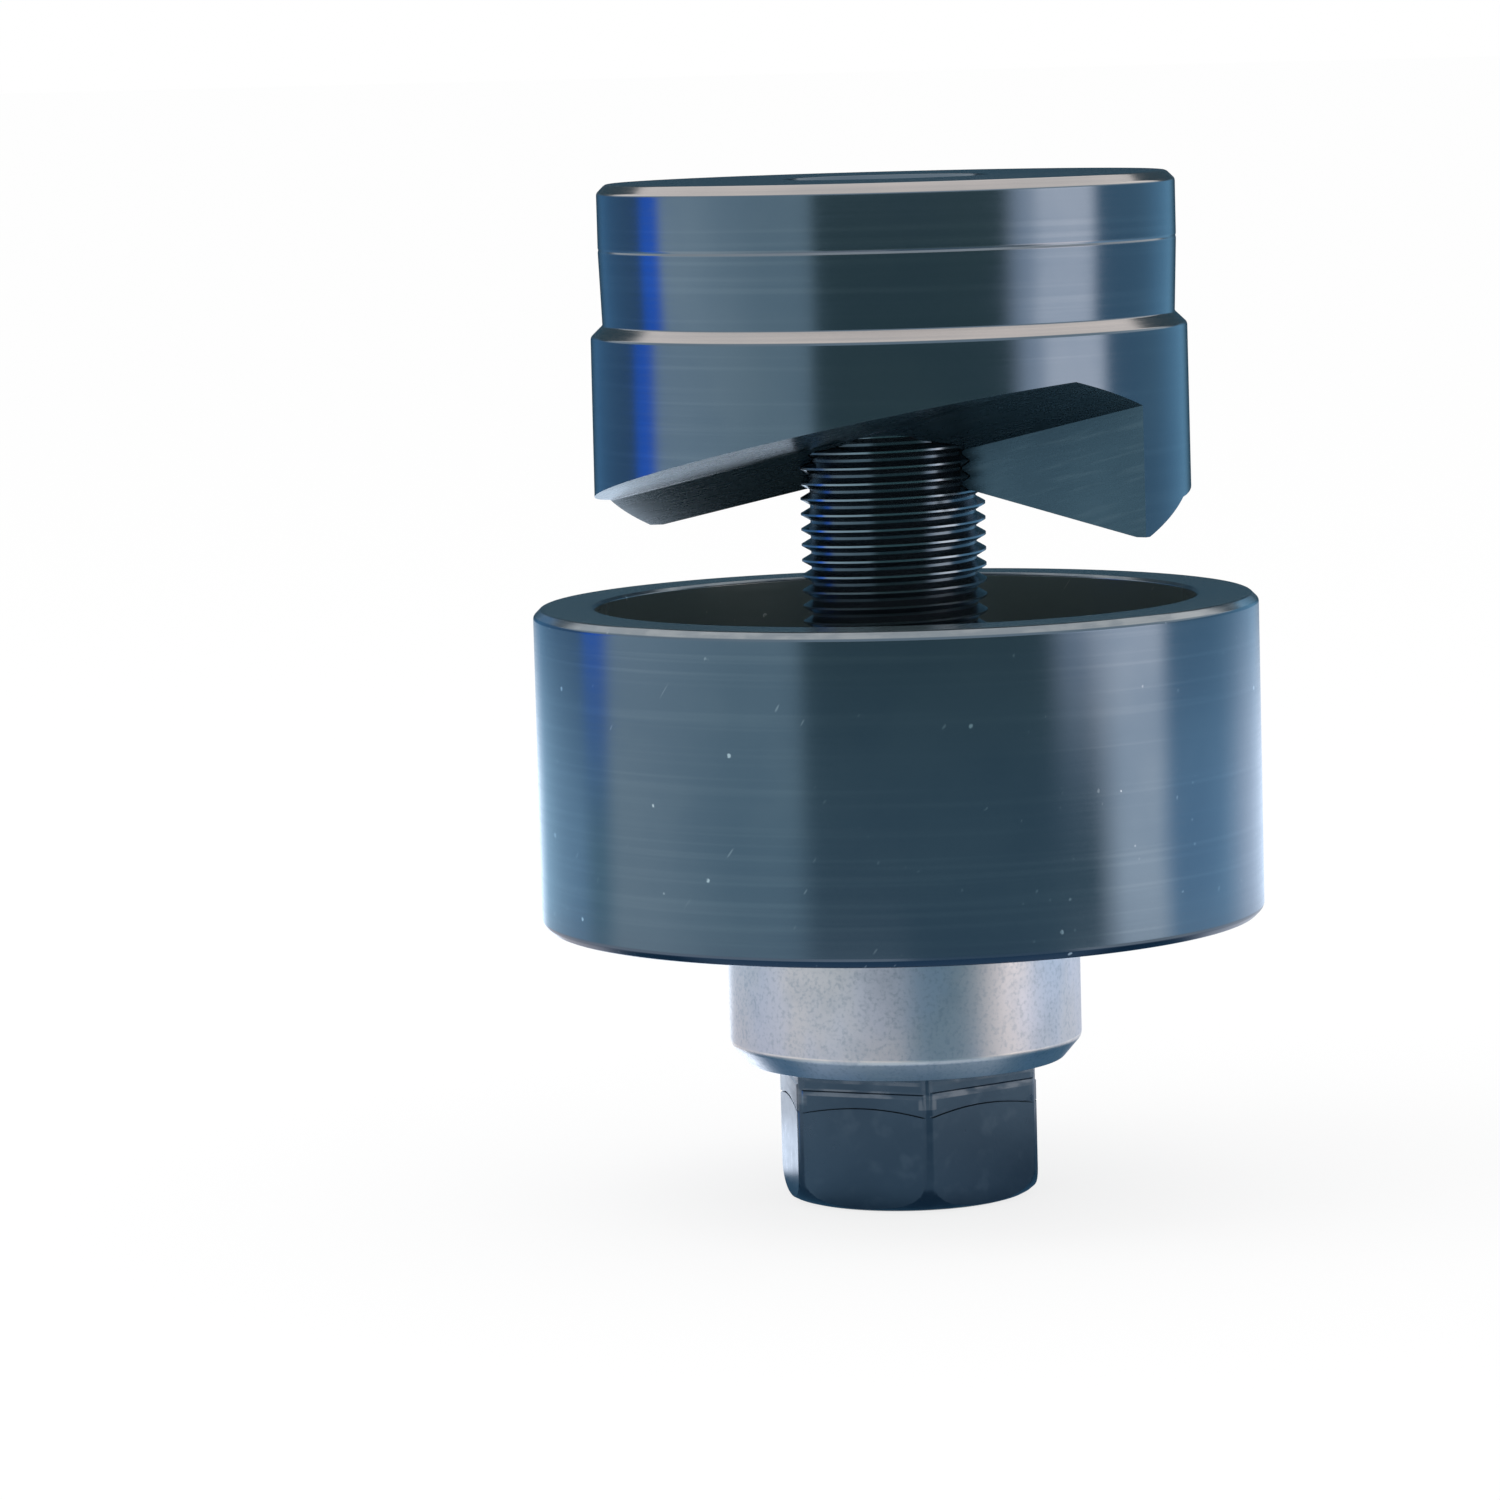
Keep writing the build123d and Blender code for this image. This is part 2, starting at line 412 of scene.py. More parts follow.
class Bench:
    """One material's nodes, laid out from Object coordinates."""

    FLECK_CORE = 0.6
    FLECK_CHOICE = 0.01

    def __init__(self, name: str) -> None:
        """Starts a material.

        Args:
            name: The material's name.
        """
        self.material = bpy.data.materials.new(name)
        self.material.use_nodes = True
        self.tree = self.material.node_tree
        self.tree.nodes.clear()
        self.place = self.node("ShaderNodeTexCoord").outputs["Object"]
        parts = self.node("ShaderNodeSeparateXYZ", sockets={0: self.place})
        self.x, self.y, self.z = (Signal(self, parts.outputs[axis]) for axis in range(3))
        self.radius = (self.x * self.x + self.y * self.y) ** 0.5

    def node(self, kind: str, settings: dict | None = None, sockets: dict | None = None) -> bpy.types.Node:
        """Adds a node of any type.

        Args:
            kind: The node's type.
            settings: Its properties, set first. A ramp's stops are a list of place and colour.
            sockets: Values or links of its inputs, by name or number.

        Returns:
            The node.
        """
        made = self.tree.nodes.new(kind)
        for name, value in (settings or {}).items():
            if name == "stops":
                self._set_stops(made, value)
            else:
                setattr(made, name, value)
        for name, value in (sockets or {}).items():
            if isinstance(value, Signal):
                self.tree.links.new(value.socket, made.inputs[name])
            elif isinstance(value, bpy.types.NodeSocket):
                self.tree.links.new(value, made.inputs[name])
            else:
                made.inputs[name].default_value = value
        return made

    @staticmethod
    def _set_stops(ramp: bpy.types.Node, stops: Sequence[tuple[float, Colour]]) -> None:
        """Sets a colour ramp's stops.

        Args:
            ramp: The ColorRamp node.
            stops: Each stop's place from 0 to 1 and its colour.
        """
        elements = ramp.color_ramp.elements
        while len(elements) > 1:
            elements.remove(elements[-1])
        elements[0].position = stops[0][0]
        elements[0].color = (*stops[0][1], 1)
        for position, colour in stops[1:]:
            elements.new(position).color = (*colour, 1)

    def noise(self, stretch: Stretch, detail: float = 2.0, turn: float = 0.0) -> Signal:
        """Adds stretched noise.

        Args:
            stretch: Its frequency along x, y and z, per metre.
            detail: How many finer layers it has.
            turn: How far it is turned about the Y axis, in degrees.

        Returns:
            The noise, about 0.5 on average.
        """
        mapping = self.node("ShaderNodeMapping", {"vector_type": "TEXTURE"}, {"Vector": self.place})
        mapping.inputs["Rotation"].default_value = (0, math.radians(turn), 0)
        mapping.inputs["Scale"].default_value = tuple(1 / size for size in stretch)
        made = self.node(
            "ShaderNodeTexNoise", sockets={"Vector": mapping.outputs[0], "Scale": 1.0, "Detail": detail}
        )
        return Signal(self, made.outputs[0])

    def flecks(self, spacing: float, size: float, share: float) -> Signal:
        """Adds sparse round flecks.

        Args:
            spacing: How many cells there are per metre.
            size: The fleck's radius as a share of its cell.
            share: How much of the surface has flecks.

        Returns:
            1 on a fleck and 0 off it.
        """
        cells = self.node(
            "ShaderNodeTexVoronoi", sockets={"Vector": self.place, "Scale": spacing, "Randomness": 1.0}
        )
        parts = self.node("ShaderNodeSeparateColor", sockets={0: cells.outputs["Color"]})
        chosen = Signal(self, parts.outputs[0]).ramp(1 - share, 1 - share + self.FLECK_CHOICE)
        return Signal(self, cells.outputs["Distance"]).ramp(size, size * self.FLECK_CORE) * chosen

    def blend(self, factor: Signal | float, first: object, second: object) -> bpy.types.NodeSocket:
        """Mixes two colours.

        Args:
            factor: 0 for the first and 1 for the second.
            first: A colour or a colour socket.
            second: Another one.

        Returns:
            The mixed colour.
        """
        both = [(*colour, 1) if isinstance(colour, tuple) else colour for colour in (first, second)]
        made = self.node("ShaderNodeMix", {"data_type": "RGBA"}, {0: factor, 6: both[0], 7: both[1]})
        return made.outputs[2]

    def bump(self, height: Signal, depth: float) -> bpy.types.NodeSocket:
        """Turns a height into a normal.

        Args:
            height: The height from 0 to 1.
            depth: How deep that is, in metres.

        Returns:
            The normal.
        """
        made = self.node("ShaderNodeBump", sockets={"Strength": 1.0, "Distance": depth, "Height": height})
        return made.outputs[0]

    def finish(self, **sockets: object) -> bpy.types.Material:
        """Ends the material with a Principled BSDF.

        Args:
            sockets: Its inputs, with underscores for spaces.

        Returns:
            The material.
        """
        named = {name.replace("_", " "): value for name, value in sockets.items()}
        surface = self.node("ShaderNodeBsdfPrincipled", sockets=named)
        self.node("ShaderNodeOutputMaterial", sockets={0: surface.outputs[0]})
        return self.material


@dataclass(frozen=True)
class Ring:
    """A ring-shaped part of a turned piece, between two levels and two radii in millimetres, with how
    much of its finish shows there and how much of that is broken up.
    """

    SOFTNESS = 0.00012
    PATCHES = (260.0, 260.0, 700.0)
    PATCH_RANGE = (0.42, 0.62)

    low: float
    high: float
    inner: float
    outer: float
    amount: float = 1.0
    ragged: float = 0.0

    def mask(self, bench: Bench) -> Signal:
        """Adds the ring to a material.

        Args:
            bench: The material.

        Returns:
            The ring's amount inside it, broken up where it is ragged, and 0 outside it.
        """
        rise = bench.z.within(self.low * METRES, self.high * METRES, self.SOFTNESS)
        reach = bench.radius.within(self.inner * METRES, self.outer * METRES, self.SOFTNESS)
        inside = rise * reach * self.amount
        if self.ragged:
            patches = bench.noise(self.PATCHES, detail=3.0).ramp(*self.PATCH_RANGE)
            inside = inside * (self.ragged * patches + (1 - self.ragged))
        return inside

    @staticmethod
    def total(bench: Bench, rings: Sequence["Ring"]) -> Signal | None:
        """Adds several rings to a material.

        Args:
            bench: The material.
            rings: The rings.

        Returns:
            The largest of their masks, or None where there is no ring.
        """
        largest = None
        for ring in rings:
            inside = ring.mask(bench)
            largest = inside if largest is None else largest.larger(inside)
        return largest


@dataclass(frozen=True)
class OxideSteel:
    """Satin black oxide on turned or ground steel, with a blue sheen, and rings of painted fill light and
    painted shade where they are given.
    """

    CLOUDS = (70.0, 70.0, 70.0)
    CLOUD_RANGE = (0.35, 0.65)
    SPECKLE = (2600.0, 2600.0, 2600.0)
    STREAK_RANGE = (0.50, 0.74)
    WORN_COVER = 0.82
    CHIPS_PER_METRE = 330.0
    CHIP_SIZE = 0.10
    CHIP_OUTLINE = (1500.0, 1500.0, 1500.0)
    CHIP_RANGE = (0.44, 0.56)
    CHIP_COVER = 0.75
    SCRATCHES = (2600.0, 2600.0, 130.0)
    SCRATCH_RANGE = (0.83, 0.88)
    SCRATCH_TURN = 38.0
    SCRATCH_COVER = 0.25
    CHIP_TONE = (0.55, 0.62, 0.66)

    name: str
    grain: Grain = Grain.TURNED
    tone: Colour = (0.102, 0.144, 0.184)
    deep_tone: Colour = (0.088, 0.130, 0.172)
    streak_tone: Colour = (0.165, 0.215, 0.255)
    bare_tone: Colour = (0.520, 0.480, 0.460)
    # paler, duller oxide that paints fill light into shaded rings
    dull_fill_light_tone: Colour = (0.150, 0.200, 0.205)
    # colour of the rings of painted shade
    painted_shade_tone: Colour = (0.015, 0.045, 0.085)
    metal: float = 0.88
    # metalness of the rings of painted fill light
    dull_fill_light_metal: float = 0.42
    bare_metal: float = 1.0
    roughness: float = 0.165
    mark_depth: float = 0.000004
    mark_turn: float = 0.0
    streak_share: float = 0.22
    streak_scale: float = 0.45
    fleck_share: float = 0.0
    worn: tuple[Ring, ...] = ()
    # rings of painted fill light
    dull_fill_light: tuple[Ring, ...] = ()
    # rings of painted shade
    dark: tuple[Ring, ...] = ()

    def _chipped(self, bench: Bench, colour: bpy.types.NodeSocket) -> bpy.types.NodeSocket:
        """Adds small chips and slanting scratches to the oxide.

        Args:
            bench: The material.
            colour: The oxide's colour.

        Returns:
            The colour with the chips and scratches.
        """
        ragged = bench.noise(self.CHIP_OUTLINE, detail=2.0).ramp(*self.CHIP_RANGE)
        chips = bench.flecks(self.CHIPS_PER_METRE, self.CHIP_SIZE, self.fleck_share) * ragged
        lines = bench.noise(self.SCRATCHES, detail=0.0, turn=self.SCRATCH_TURN)
        scratches = lines.ramp(*self.SCRATCH_RANGE)
        colour = bench.blend(chips * self.CHIP_COVER, colour, self.CHIP_TONE)
        return bench.blend(scratches * self.SCRATCH_COVER, colour, self.CHIP_TONE)

    def make(self) -> bpy.types.Material:
        """Returns the material."""
        bench = Bench(self.name)
        marks = bench.noise(self.grain.value, detail=3.0, turn=self.mark_turn)
        coarse = tuple(self.streak_scale * size for size in self.grain.value)
        streaks = bench.noise(coarse, detail=2.0, turn=self.mark_turn)
        clouds = bench.noise(self.CLOUDS, detail=4.0)
        speckle = bench.noise(self.SPECKLE, detail=2.0)
        colour = bench.blend(clouds.ramp(*self.CLOUD_RANGE), self.tone, self.deep_tone)
        streaked = streaks.ramp(*self.STREAK_RANGE) * self.streak_share
        colour = bench.blend(streaked, colour, self.streak_tone)
        # painted shade: darkens rings where the steel mirrors shaded ground
        dark = Ring.total(bench, self.dark)
        if dark is not None:
            colour = bench.blend(dark, colour, self.painted_shade_tone)
        metal = self.metal
        # painted fill light: a paler, less metallic oxide lightens rings that stand in shade
        dull_fill_light = Ring.total(bench, self.dull_fill_light)
        if dull_fill_light is not None:
            colour = bench.blend(dull_fill_light, colour, self.dull_fill_light_tone)
            metal = dull_fill_light * (self.dull_fill_light_metal - metal) + metal
        bare = Ring.total(bench, self.worn)
        if bare is not None:
            bare = bare * (self.WORN_COVER + marks.swing(0.5) + clouds.swing(0.4))
            colour = bench.blend(bare, colour, self.bare_tone)
            metal = bare * (self.bare_metal - metal) + metal
        if self.fleck_share:
            colour = self._chipped(bench, colour)
        rough = self.roughness + marks.swing(0.10) + clouds.swing(0.10) + speckle.swing(0.05)
        height = marks * 0.5 + streaks * 0.2 + speckle * 0.3
        return bench.finish(
            Base_Color=colour, Metallic=metal, Roughness=rough, Normal=bench.bump(height, self.mark_depth)
        )


@dataclass(frozen=True)
class BareSteel:
    """Bare steel, brushed or ground, with faint stains."""

    GRIT = (2400.0, 2400.0, 2400.0)
    GRIT_RANGE = (0.46, 0.72)
    CLOUDS = (110.0, 110.0, 60.0)
    CLOUD_RANGE = (0.42, 0.60)
    PATCHES = (300.0, 300.0, 300.0)
    PATCH_RANGE = (0.44, 0.74)
    PATCH_COVER = 0.6
    WARM_TONE = (0.640, 0.600, 0.560)
    WORN_TONE = (0.880, 0.820, 0.740)

    name: str
    grain: Grain = Grain.BRUSHED
    tone: Colour = (0.600, 0.600, 0.640)
    stain_tone: Colour = (0.400, 0.430, 0.460)
    roughness: float = 0.34
    mark_depth: float = 0.000006
    stain: float = 0.5
    warmth: float = 0.0
    worn: tuple[Ring, ...] = ()

    def make(self) -> bpy.types.Material:
        """Returns the material."""
        bench = Bench(self.name)
        marks = bench.noise(self.grain.value, detail=2.0)
        grit = bench.noise(self.GRIT, detail=3.0)
        clouds = bench.noise(self.CLOUDS, detail=3.0)
        patches = bench.noise(self.PATCHES, detail=4.0)
        warmed = clouds.ramp(*self.CLOUD_RANGE) * self.warmth
        colour = bench.blend(warmed, self.tone, self.WARM_TONE)
        stained = patches.ramp(*self.PATCH_RANGE) * self.stain * self.PATCH_COVER
        stained = stained + grit.ramp(*self.GRIT_RANGE) * self.stain
        colour = bench.blend(stained, colour, self.stain_tone)
        worn = Ring.total(bench, self.worn)
        if worn is not None:
            colour = bench.blend(worn, colour, self.WORN_TONE)
        rough = self.roughness + marks.swing(0.10) + grit.swing(0.18)
        height = marks * 0.4 + grit * 0.6
        return bench.finish(
            Base_Color=colour, Metallic=1.0, Roughness=rough, Normal=bench.bump(height, self.mark_depth)
        )


@dataclass
class Punch:
    """The cutting punch: skirt, shoulder, scribed neck, threaded bore and two shear faces."""

    tip_level: float = 69.1
    shoulder_level: float = 89.9
    neck_level: float = 91.1
    scribe_level: float = 98.8
    top_level: float = 105.5
    cutting_radius: float = 30.75
    skirt_radius: float = 30.65
    neck_radius: float = 29.4
    crown_radius: float = 29.66
    crown_chamfer: float = 0.9
    scribe_depth: float = 0.06
    scribe_width: float = 0.4
    minor_radius: float = 8.72
    bore_mouth: float = 10.575
    shear_angle: float = 12.4
    relief_angle: float = 18.4
    relief_width: float = 9.75
    tip_flat: float = 0.25
    shear_overlap: float = 0.002
    tool_reach: float = 1.2
    thread_root: float = 9.64
    thread_root_half: float = 0.12
    thread_base: float = 8.50
    thread_base_half: float = 0.755
    spare_turns: int = 2
    edge_break: float = 0.14
    edge_angle: float = 48.0
    shoulder_round: float = 0.22
    neck_round: float = 0.12
    scribe_round: float = 0.06
    crown_round: float = 0.20
    top_round: float = 0.25
    mouth_round: float = 0.10
    crown_wear_inset: float = 0.04
    shoulder_wear_rise: float = 0.15
    shoulder_wear_drop: float = 0.10
    scribe_wear_inset: float = 0.02

    def turned_finish(self) -> OxideSteel:
        """Returns the finish of the turned surfaces, with the edges that handling has worn."""
        half_scribe = self.scribe_width / 2
        crown = Ring(
            low=self.top_level - self.crown_chamfer,
            high=self.top_level,
            inner=self.crown_radius - self.crown_chamfer - self.crown_wear_inset,
            outer=self.cutting_radius,
        )
        shoulder = Ring(
            low=self.shoulder_level + self.shoulder_wear_rise,
            high=self.neck_level - self.shoulder_wear_drop,
            inner=self.bore_mouth,
            outer=self.cutting_radius,
        )
        scribe = Ring(
            low=self.scribe_level - half_scribe,
            high=self.scribe_level + half_scribe,
            inner=self.bore_mouth,
            outer=self.crown_radius - self.scribe_wear_inset,
            amount=0.20,
        )
        return OxideSteel("punch_turned_oxide", worn=(crown, shoulder, scribe))

    def ground_finish(self) -> OxideSteel:
        """Returns the finish of the shear faces, with their slanting grinding marks."""
        return OxideSteel(
            "punch_ground_oxide",
            Grain.GROUND,
            tone=(0.048, 0.100, 0.138),
            deep_tone=(0.038, 0.084, 0.120),
            streak_tone=(0.085, 0.145, 0.185),
            streak_share=0.4,
            metal=0.64,
            roughness=0.27,
            mark_depth=0.000012,
            mark_turn=-14.0,
        )

    def _body(self) -> Workpiece:
        """Returns the turned body with its bore at the thread's minor radius."""
        half_scribe = self.scribe_width / 2
        mouth_depth = self.bore_mouth - self.minor_radius
        profile = (
            Corner(self.minor_radius, self.tip_level),
            Corner(self.cutting_radius, self.tip_level),
            Corner(self.skirt_radius, self.shoulder_level, self.shoulder_round),
            Corner(self.neck_radius, self.neck_level, self.neck_round),
            Corner(self.crown_radius, self.scribe_level - half_scribe, self.scribe_round),
            Corner(self.crown_radius - self.scribe_depth, self.scribe_level),
            Corner(self.crown_radius, self.scribe_level + half_scribe, self.scribe_round),
            Corner(self.crown_radius, self.top_level - self.crown_chamfer, self.crown_round),
            Corner(self.crown_radius - self.crown_chamfer, self.top_level, self.top_round),
            Corner(self.bore_mouth, self.top_level, self.mouth_round),
            Corner(self.minor_radius, self.top_level - mouth_depth),
        )
        return Workpiece("punch_turned").turn(profile)

    def _shear_tool(self, half_turn: bool) -> Workpiece:
        """Makes what is cut from under one half of the punch.

        Args:
            half_turn: Whether it cuts the half on the +Y side.

        Returns:
            The tool.
        """
        slope = math.tan(math.radians(self.shear_angle))
        rise = self.relief_width * math.tan(math.radians(self.relief_angle))
        reach = self.tool_reach * self.cutting_radius
        start = self.tip_level - self.tip_flat - slope * (reach - self.cutting_radius)
        # the underside climbs by two reaches' slope, so three keep it below the far tip
        drop = start - 3 * slope * reach
        outline = [
            Vector((-reach, self.shear_overlap, start)),
            Vector((-reach, 0, start)),
            Vector((-reach, -self.relief_width, start + rise)),
            Vector((-reach, -reach, start + rise)),
            Vector((-reach, -reach, drop)),
            Vector((-reach, self.shear_overlap, drop)),
        ]
        tool = Workpiece("shear_tool").prism(outline, Vector((2 * reach, 0, 2 * reach * slope)))
        if half_turn:
            tool.mesh.transform(Matrix.Diagonal((-1, -1, 1, 1)))
        return tool

    def build(self) -> bpy.types.Object:
        """Builds and dresses the punch and returns its object."""
        turned = self.turned_finish().make()
        ground = self.ground_finish().make()
        body = self._body().paint(turned)
        for half_turn in (False, True):
            body.machine(self._shear_tool(half_turn).paint(ground), Cut.REMOVE)
        body.break_edges(self.edge_break, self.edge_angle)
        section = (
            (self.thread_base, -self.thread_base_half),
            (self.thread_root, -self.thread_root_half),
            (self.thread_root, self.thread_root_half),
            (self.thread_base, self.thread_base_half),
        )
        first = DrawStud.thread_start + THREAD_PITCH / 2
        skipped = math.floor((self.tip_level - first) / THREAD_PITCH)
        turns = math.ceil((self.top_level - self.tip_level) / THREAD_PITCH) + self.spare_turns
        tap = Workpiece("tap").coil(section, first + skipped * THREAD_PITCH, turns)
        body.machine(tap.paint(turned), Cut.REMOVE)
        return body.hand_over("punch", "punch", "punch_oxide")


@dataclass
class Die:
    """The cup-shaped die with its cutting bore, flat rim and stud hole."""

    seat_level: float = 28.9
    cavity_level: float = 38.6
    rim_level: float = 62.1
    radius: float = 37.44
    bore_radius: float = 31.05
    hole_radius: float = 9.925
    rim_chamfer: float = 0.8
    base_chamfer: float = 0.8
    bore_edge: float = 0.3
    cavity_fillet: float = 2.0
    hole_chamfer: float = 0.6
    underside_round: float = 0.15
    base_round: float = 0.25
    rim_round: float = 0.20
    bore_round: float = 0.08
    hole_round: float = 0.10
    rim_wear_and_highlight_height: float = 0.60
    rim_wear_and_highlight_inset: float = 0.72
    base_shade_height: float = 0.70
    base_shade_inset: float = 1.04
    cavity_fill_light_drop: float = 1.0
    margin: float = 0.1

    def finish(self) -> OxideSteel:
        """Returns the die's finish, worn at its rim and cutting edge, with a painted highlight on the rim
        edge, painted fill light in the cavity and on the rim face, and painted shade on the base edge.
        """
        # worn bare outer rim edge, which also carries a painted highlight line through its diffuse share
        rim_edge = Ring(
            low=self.rim_level - self.rim_wear_and_highlight_height,
            high=self.rim_level,
            inner=self.radius - self.rim_wear_and_highlight_inset,
            outer=self.radius + self.margin,
            amount=0.62,
            ragged=0.3,
        )
        cutting_edge = Ring(
            low=self.rim_level - self.bore_edge,
            high=self.rim_level,
            inner=self.bore_radius,
            outer=self.bore_radius + self.bore_edge,
            amount=0.45,
            ragged=0.5,
        )
        # painted fill light: paler, duller oxide lightens the shaded cavity
        cavity_fill_light = Ring(
            low=self.cavity_level - self.cavity_fill_light_drop,
            high=self.rim_level - self.bore_edge - self.margin,
            inner=0,
            outer=self.bore_radius + self.margin,
        )
        # painted fill light: the same paler, duller oxide lightens the rim face, which mirrors the shaded
        # punch
        rim_face_fill_light = Ring(
            low=self.rim_level - self.margin,
            high=self.rim_level + self.margin,
            inner=self.bore_radius + self.bore_edge + self.margin,
            outer=self.radius - self.rim_chamfer - self.margin,
            amount=0.65,
        )
        # painted shade: a dark ring on the base chamfer, where it mirrors the shaded ground under the
        # object
        base_edge_shade = Ring(
            low=self.seat_level,
            high=self.seat_level + self.base_shade_height,
            inner=self.radius - self.base_shade_inset,
            outer=self.radius + self.margin,
        )
        return OxideSteel(
            "die_turned_oxide",
            bare_tone=(0.460, 0.480, 0.485),
            # below 1, so the worn rim edge shows a painted highlight in its diffuse share
            bare_metal=0.6,
            fleck_share=0.45,
            worn=(rim_edge, cutting_edge),
            dull_fill_light=(cavity_fill_light, rim_face_fill_light),
            dark=(base_edge_shade,),
        )

    def build(self) -> bpy.types.Object:
        """Builds and dresses the die and returns its object."""
        profile = (
            Corner(self.hole_radius, self.seat_level, self.underside_round),
            Corner(self.radius - self.base_chamfer, self.seat_level, self.base_round),
            Corner(self.radius, self.seat_level + self.base_chamfer, self.base_round),
            Corner(self.radius, self.rim_level - self.rim_chamfer, self.rim_round),
            Corner(self.radius - self.rim_chamfer, self.rim_level, self.rim_round),
            Corner(self.bore_radius + self.bore_edge, self.rim_level, self.bore_round),
            Corner(self.bore_radius, self.rim_level - self.bore_edge, self.bore_round),
            Corner(self.bore_radius, self.cavity_level, self.cavity_fillet),
            Corner(self.hole_radius + self.hole_chamfer, self.cavity_level, self.hole_round),
            Corner(self.hole_radius, self.cavity_level - self.hole_chamfer, self.hole_round),
        )
        cup = Workpiece("die_cup").turn(profile).paint(self.finish().make())
        return cup.hand_over("die", "die", "die_oxide")


@dataclass
class DrawStud:
    """The threaded draw stud with its hex head. Each flat has a shallow arc, and a step, its ledge,
    which starts at a level of its own.
    """

    thread_start: float = 36.0
    thread_clear: float = 0.12
    flank_angle: float = 30.0
    crest_wear_inset: float = 0.065
    shank_overlap: float = 2.0
    across_flats: float = 25.0
    head_radius: float = 14.1
    head_height: float = 14.5
    end_round: float = 2.9
    corner_angle: float = 12.9
    crest_radius: float = 9.525
    root_radius: float = 8.56
    top_level: float = 100.1
    end_chamfer: float = 1.4
    groove_low: float = 27.46
    groove_high: float = 28.57
    groove_radius: float = 8.975
    groove_round: float = 0.08
    head_edge_round: float = 0.15
    end_edge_round: float = 0.15
    edge_break: float = 0.22
    edge_angle: float = 40.0
    arc_inner: float = 12.0
    arc_outer: float = 15.2
    arc_level: float = 11.10
    arc_drop: float = 1.36
    arc_width: float = 0.20
    arc_depth: float = 0.20
    arc_core: Span = (5.0, 14.0)
    ledge_depth: float = 0.15
    ledge_slant: float = 0.12
    ledges: tuple[float, ...] = (12.2, 13.2, 12.6, 12.9, 12.3, 12.5)
    tool_over: float = 1.0
    tool_clear: float = 3.0
    tool_half_run: float = 9.0
    scuffs: tuple[Ring, ...] = (
        Ring(low=11.95, high=12.55, inner=12.2, outer=14.4, amount=0.32, ragged=0.9),
        Ring(low=13.30, high=13.60, inner=12.2, outer=14.4, amount=0.20, ragged=0.9),
        Ring(low=10.90, high=13.90, inner=14.0, outer=14.4, amount=0.22, ragged=0.8),
    )

    def head_finish(self) -> OxideSteel:
        """Returns the forged head's finish, worn where the flats' ledges and corners catch on wrenches."""
        return OxideSteel(
            "stud_oxide_forged",
            Grain.FORGED,
            tone=(0.060, 0.096, 0.130),
            deep_tone=(0.046, 0.076, 0.106),
            bare_tone=(0.500, 0.520, 0.530),
            roughness=0.30,
            mark_depth=0.000018,
            streak_share=0.15,
            worn=self.scuffs,
        )

    def thread_finish(self) -> OxideSteel:
        """Returns the thread's finish, a little brighter on its crests."""
        crests = Ring(
            low=self.thread_start,
            high=self.top_level,
            inner=self.crest_radius - self.crest_wear_inset,
            outer=self.crest_radius + self.thread_clear,
            amount=0.7,
        )
        return OxideSteel(
            "stud_oxide_thread",
            tone=(0.088, 0.122, 0.150),
            deep_tone=(0.070, 0.102, 0.128),
            bare_tone=(0.260, 0.330, 0.380),
            roughness=0.20,
            streak_share=0.0,
            worn=(crests,),
        )

    def _hex(self, across: float, low: float, high: float) -> Workpiece:
        """Makes a hexagonal bar with the head's corners.

        Args:
            across: Its size across the flats.
            low: Where it starts.
            high: Where it ends.

        Returns:
            The bar.
        """
        reach = across / math.sqrt(3)
        turns = [math.radians(self.corner_angle + HEX_STEP * number) for number in range(6)]
        outline = [Vector((reach * math.cos(turn), reach * math.sin(turn), low)) for turn in turns]
        return Workpiece("hex_bar").prism(outline, Vector((0, 0, high - low)))

    def _head(self) -> Workpiece:
        """Returns the head: a hexagonal bar inside a turned and rounded blank, with arcs and ledges."""
        blank = (
            Corner(0, 0),
            Corner(self.head_radius, 0, self.end_round),
            Corner(self.head_radius, self.head_height, self.head_edge_round),
            Corner(0, self.head_height),
        )
        head = self._hex(self.across_flats, -self.tool_over, self.head_height + self.tool_over)
        head.machine(Workpiece("blank").turn(blank, SMALL_TURNED_STEPS), Cut.KEEP_COMMON)
        head.machine(self._arcs(), Cut.REMOVE)
        for number, level in enumerate(self.ledges):
            head.machine(self._ledge(number, level), Cut.REMOVE)
        return head

    def _arcs(self) -> Workpiece:
        """Returns the tool for the arcs: a cone's thin shell, which each flat meets in an arc."""
        foot = self.arc_level - self.arc_drop
        shell = (
            Corner(self.arc_inner, self.arc_level),
            Corner(self.arc_outer, foot),
            Corner(self.arc_outer, foot - self.arc_width),
            Corner(self.arc_inner, self.arc_level - self.arc_width),
        )
        arcs = Workpiece("arcs").turn(shell, SMALL_TURNED_STEPS)
        core = self._hex(self.across_flats - 2 * self.arc_depth, *self.arc_core)
        return arcs.machine(core, Cut.REMOVE)

    def _ledge(self, number: int, level: float) -> Workpiece:
        """Makes the tool for the shallow step at the top of one flat.

        Args:
            number: Which flat, counted from the corner angle.
            level: Where the step starts.

        Returns:
            The tool.
        """
        turn = math.radians(self.corner_angle + HEX_STEP / 2 + HEX_STEP * number)
        out = Vector((math.cos(turn), math.sin(turn), 0))
        along = Vector((-out.y, out.x, 0))
        flat = self.across_flats / 2
        beyond = flat + self.tool_clear
        step = flat - self.ledge_depth
        above = self.head_height + self.tool_over
        profile = (
            (flat, level),
            (beyond, level),
            (beyond, above),
            (step, above),
            (step, level + self.ledge_slant),
        )
        half_run = along * self.tool_half_run
        outline = [out * reach - half_run + Vector((0, 0, rise)) for reach, rise in profile]
        return Workpiece("ledge").prism(outline, 2 * half_run)

